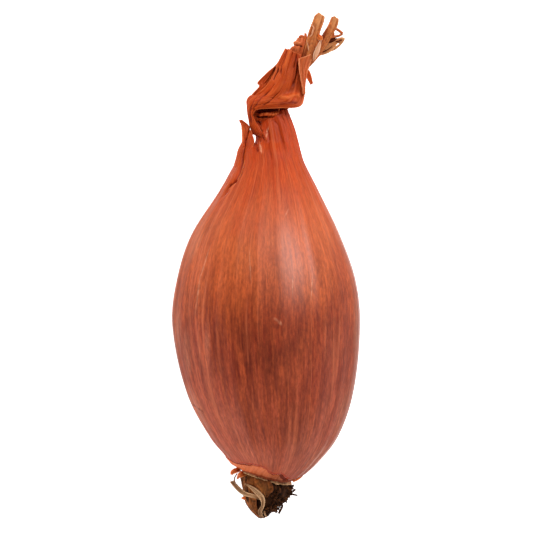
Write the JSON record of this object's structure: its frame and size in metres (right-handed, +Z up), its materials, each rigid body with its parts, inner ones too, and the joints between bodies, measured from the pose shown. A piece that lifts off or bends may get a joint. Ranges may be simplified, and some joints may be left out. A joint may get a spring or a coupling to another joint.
{
  "type": "shallot",
  "caption": "Long shallot bulb in dry copper skin, lying on its side, with a folded dry neck, tan leaf ends and a root plate with short roots.",
  "frame": {"origin": "centre of the small flat spot that the bulb rests on, on the table", "axes": "+Z up from the table, +Y along the bulb from the roots to the neck, +X to the right seen from above with the neck away from the viewer"},
  "size_m": [0.042, 0.1126, 0.04],
  "materials": {
    "skin": "smooth dry onion skin with a soft satin sheen, copper with brown-purple lengthwise veins",
    "dry_leaf": "matt dry leaf, tan to orange, fibrous",
    "frayed_leaf": "matt dry leaf, brown and straw streaks, torn",
    "root": "matt, dark brown, corky and rough",
    "root_strap": "matt, pale grey-brown, fibrous"
  },
  "bodies": {
    "root": {"bulb": "skin", "leaf_stub_left": "dry_leaf", "leaf_stub_right": "dry_leaf", "frayed_leaf": "frayed_leaf", "root_plate": "root", "root_straps": "root_strap"}
  },
  "joints": []
}
